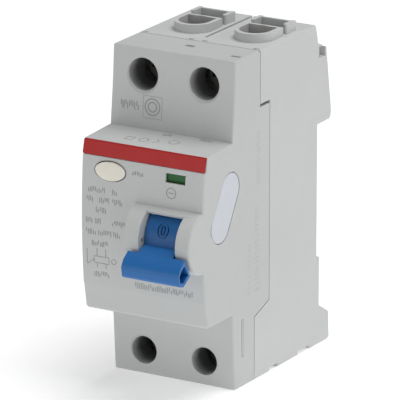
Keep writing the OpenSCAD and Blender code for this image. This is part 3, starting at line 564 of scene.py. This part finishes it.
soften("front_cover", cover_radius, cuts=(BORE_TOP, PLUG_CUT, BORE_LOW))
soften("rear_base", base_radius)
soften("toggle", toggle_radius, segments=5)
soften("colour_band", trim_radius, segments=2)
soften("side_plug", trim_radius, segments=2)


# ---------------------------------------------------------------- printed marks

# The direction that is up on each face.
FRONT, TOP = (0, 0, 1), (0, 1, 0)

# How far a line stands proud of its face, and how far out its place on the face is looked for from.
LIFT, CAST_FROM = 0.03 * MM, 200 * MM

# Line widths in millimetres.
STROKE, FINE, BOLD, HAIR = 0.24, 0.2, 0.3, 0.12

# Where a word's first stroke is, its shortest stroke as a share of its height, and the range of the steps
# between strokes.
MARGIN, SHORTEST, STEPS = 0.15, 0.55, (0.42, 0.58)


class Print:
    """Thin printed lines that lie on a face of the front cover. Places are in millimetres across and up."""

    def __init__(self, name, up, seed):
        cover = frame["nodes"]["front_cover"]
        self.name, self.body = name, cover["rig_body"]
        self.surface = BVHTree.FromPolygons([v.co for v in cover.data.vertices],
                                            [p.vertices for p in cover.data.polygons])
        self.across, self.up = Vector((1, 0, 0)), Vector(up)
        self.out = self.across.cross(self.up)
        self.work = bmesh.new()
        self.luck = random.Random(seed)

    def pair(self, place):
        """A vertex on the printed line and one just under the face."""
        start = (self.across * place.x + self.up * place.y) * MM + self.out * CAST_FROM
        spot = self.surface.ray_cast(start, -self.out)[0]
        return [self.work.verts.new(spot + self.out * shift) for shift in (LIFT, -LIFT)]

    def trace(self, path, width=STROKE, closed=False):
        """A flat line along a path, with its sides and, if it is open, its ends."""
        points = [Vector(place) for place in path]
        rails = []
        for i, point in enumerate(points):
            before = points[i - 1] if i or closed else point
            after = points[(i + 1) % len(points)] if i + 1 < len(points) or closed else point
            along = (after - before).normalized()
            aside = Vector((-along.y, along.x)) * width / 2
            rails.append(self.pair(point + aside) + self.pair(point - aside)[::-1])
        links = list(zip(rails, rails[1:])) + ([(rails[-1], rails[0])] if closed else [])
        for first, last in links:
            for i in range(4):
                j = (i + 1) % 4
                self.work.faces.new((first[i], first[j], last[j], last[i]))
        if not closed:
            self.work.faces.new(rails[0])
            self.work.faces.new(rails[-1][::-1])

    def word(self, start, end, level, height=1.5):
        """A row of short upright strokes of uneven height."""
        place = start + MARGIN
        while place < end:
            tall = height * self.luck.uniform(SHORTEST, 1)
            low = level - height / 2 + self.luck.choice((0, height - tall))
            self.trace([(place, low), (place, low + tall)])
            place += self.luck.uniform(*STEPS)

    def ring(self, x, y, across, width=STROKE, steps=28):
        turns = [math.tau * i / steps for i in range(steps)]
        radius = across / 2
        self.trace([(x + radius * math.cos(t), y + radius * math.sin(t)) for t in turns], width,
                   closed=True)

    def box(self, left, right, low, high, width=FINE):
        x, y = (left + right) / 2, (low + high) / 2
        self.trace([(left, low), (x, low), (right, low), (right, y), (right, high), (x, high), (left, high),
                    (left, y)], width, closed=True)

    def finish(self):
        bmesh.ops.recalc_face_normals(self.work, faces=self.work.faces)
        mesh = bpy.data.meshes.new(self.name)
        self.work.to_mesh(mesh)
        self.work.free()
        mesh.materials.append(ink.material)
        piece = bpy.data.objects.new(self.name, mesh)
        scene.collection.objects.link(piece)
        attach(piece, self.body)


def print_rating():
    """Rows to the left of the toggle. Each has its level, and where each of its words starts and ends."""
    rating = Print("rating_print", FRONT, seed=3)
    for level, words in (
        (10.9, ((-15.5, -10.4), (-8.6, -6.9))),
        (8.4, ((-15.9, -13.8), (-12.3, -9.6), (-8.5, -5.3))),
        (5.8, ((-13.2, -10),)),
        (2.9, ((-16.1, -14.3), (-13.4, -11.4), (-8.5, -4.8))),
        (0, ((-16.1, -13.2), (-12.6, -8.9), (-8.2, -6.3))),
        (-2.9, ((-14.5, -10),)),
        (-10.9, ((-14, -9.8),)),
    ):
        for start, end in words:
            rating.word(start, end, level)
    rating.finish()


def print_diagram():
    """A plain block with lines into it, below the rows."""
    diagram = Print("diagram_print", FRONT, seed=4)
    low, high = -8, -6.3
    diagram.box(-13.9, -9.6, low, high)
    for x in (-13, -10.5):
        diagram.trace([(x, -4.2), (x, high)], FINE)
        diagram.trace([(x, low), (x, -9.2)], FINE)
    diagram.trace([(-15.9, -4.6), (-15.9, -8.6)], FINE)
    diagram.trace([(-15.9, -8.6), (-13.9, -7.2)], FINE)
    diagram.ring(-8.2, -7.1, 1.3, FINE)
    diagram.finish()


def print_serial():
    """A row below the toggle, one by the test button, and a barred ring below the flag's window."""
    serial = Print("serial_print", FRONT, seed=5)
    serial.word(-2.2, 14.4, -12.1, height=1.7)
    serial.word(-3, 0, 16.6, height=1.1)
    serial.ring(8.3, 13.2, 2.6)
    serial.trace([(7.5, 13.2), (9.1, 13.2)])
    serial.finish()


def print_nose():
    """Plain signs on top of the nose."""
    nose = Print("nose_print", TOP, seed=6)
    nose.ring(-3.5, -50.2, 2.4)
    nose.ring(4.2, -48.6, 2.6)
    nose.box(-8.3, -6.3, -51.6, -49.6)
    nose.word(-1.2, 1.4, -44.6, height=1.8)
    nose.word(9, 12.6, -44, height=1.6)
    nose.trace([(-0.6, -48.4), (0.8, -50), (-0.8, -51)])
    nose.finish()


def print_approval():
    """A row, and two rings in a box, on the front of the upper block."""
    block = Print("approval_print", FRONT, seed=8)
    x, y = -5.64, 29.5
    block.word(-14.8, -9.4, 29.3, height=2.2)
    block.ring(x, y, 4.2, BOLD)
    block.ring(x, y, 2.4, BOLD)
    block.box(-8.3, -2.9, 26.6, 32.2, HAIR)
    block.finish()


print_rating()
print_diagram()
print_serial()
print_nose()
print_approval()


# ---------------------------------------------------------------- floor, light and camera

WHITE = (1, 1, 1, 1)
FLOOR_HALF = 4.0
FLOOR_GLOW = 0.34
SKY_GLOW = 0.26


def stage():
    half, low = FLOOR_HALF, cad_low.z
    mesh = bpy.data.meshes.new("floor")
    mesh.from_pydata([(-half, -half, low), (half, -half, low), (half, half, low), (-half, half, low)], [],
                     [(0, 1, 2, 3)])
    floor = bpy.data.objects.new("floor", mesh)
    scene.collection.objects.link(floor)
    paper = Look("floor_paper", 0.8)
    paper.paint(paper.mix(paper.noise(per_mm=0.01), rgb(246, 246, 246), rgb(250, 250, 250)))
    paper.shader.inputs["Emission Color"].default_value = WHITE
    paper.shader.inputs["Emission Strength"].default_value = FLOOR_GLOW
    mesh.materials.append(paper.material)


def sky():
    world = bpy.data.worlds.new("studio")
    world.use_nodes = True
    background = world.node_tree.nodes["Background"]
    background.inputs["Color"].default_value = WHITE
    background.inputs["Strength"].default_value = SKY_GLOW
    scene.world = world


def area_light(name, place, aim, size, power):
    data = bpy.data.lights.new(name, "AREA")
    data.shape = "DISK"
    data.size = size
    data.energy = power
    light = bpy.data.objects.new(name, data)
    light.location = place
    light.rotation_euler = (Vector(aim) - Vector(place)).to_track_quat("-Z", "Y").to_euler()
    scene.collection.objects.link(light)


def camera(azimuth, elevation, distance, lens, target, left, down):
    """A camera that looks at the target from the given angles, with the view moved left and down by
    millimetres at the target."""
    back = Vector((math.sin(azimuth) * math.cos(elevation), -math.cos(azimuth) * math.cos(elevation),
                   math.sin(elevation)))
    right = Vector((math.cos(azimuth), math.sin(azimuth), 0))
    up = back.cross(right)
    aim = Vector(target) * MM - right * left * MM - up * down * MM
    data = bpy.data.cameras.new("camera")
    data.lens = lens
    data.sensor_width = 36
    data.clip_start, data.clip_end = 0.1, 20
    view = bpy.data.objects.new("camera", data)
    view.location = aim + back * distance
    view.rotation_euler = (-back).to_track_quat("-Z", "Y").to_euler()
    scene.collection.objects.link(view)
    scene.camera = view


stage()
sky()
area_light("key", place=(0.24, 0.12, 1.17), aim=(0, -0.03, 0), size=0.9, power=9.6)
area_light("side", place=(1.15, 0.1, 0.45), aim=(0, -0.03, 0), size=0.8, power=1.7)
area_light("front", place=(-0.3, -1.2, 0.05), aim=(0, -0.03, -0.02), size=0.8, power=2.6)
camera(azimuth=math.radians(30.5), elevation=math.radians(17.1), distance=1.2954, lens=464.3,
       target=(0, -23.94, 1.6), left=2.53, down=0.12)
scene.view_settings.view_transform = "Standard"
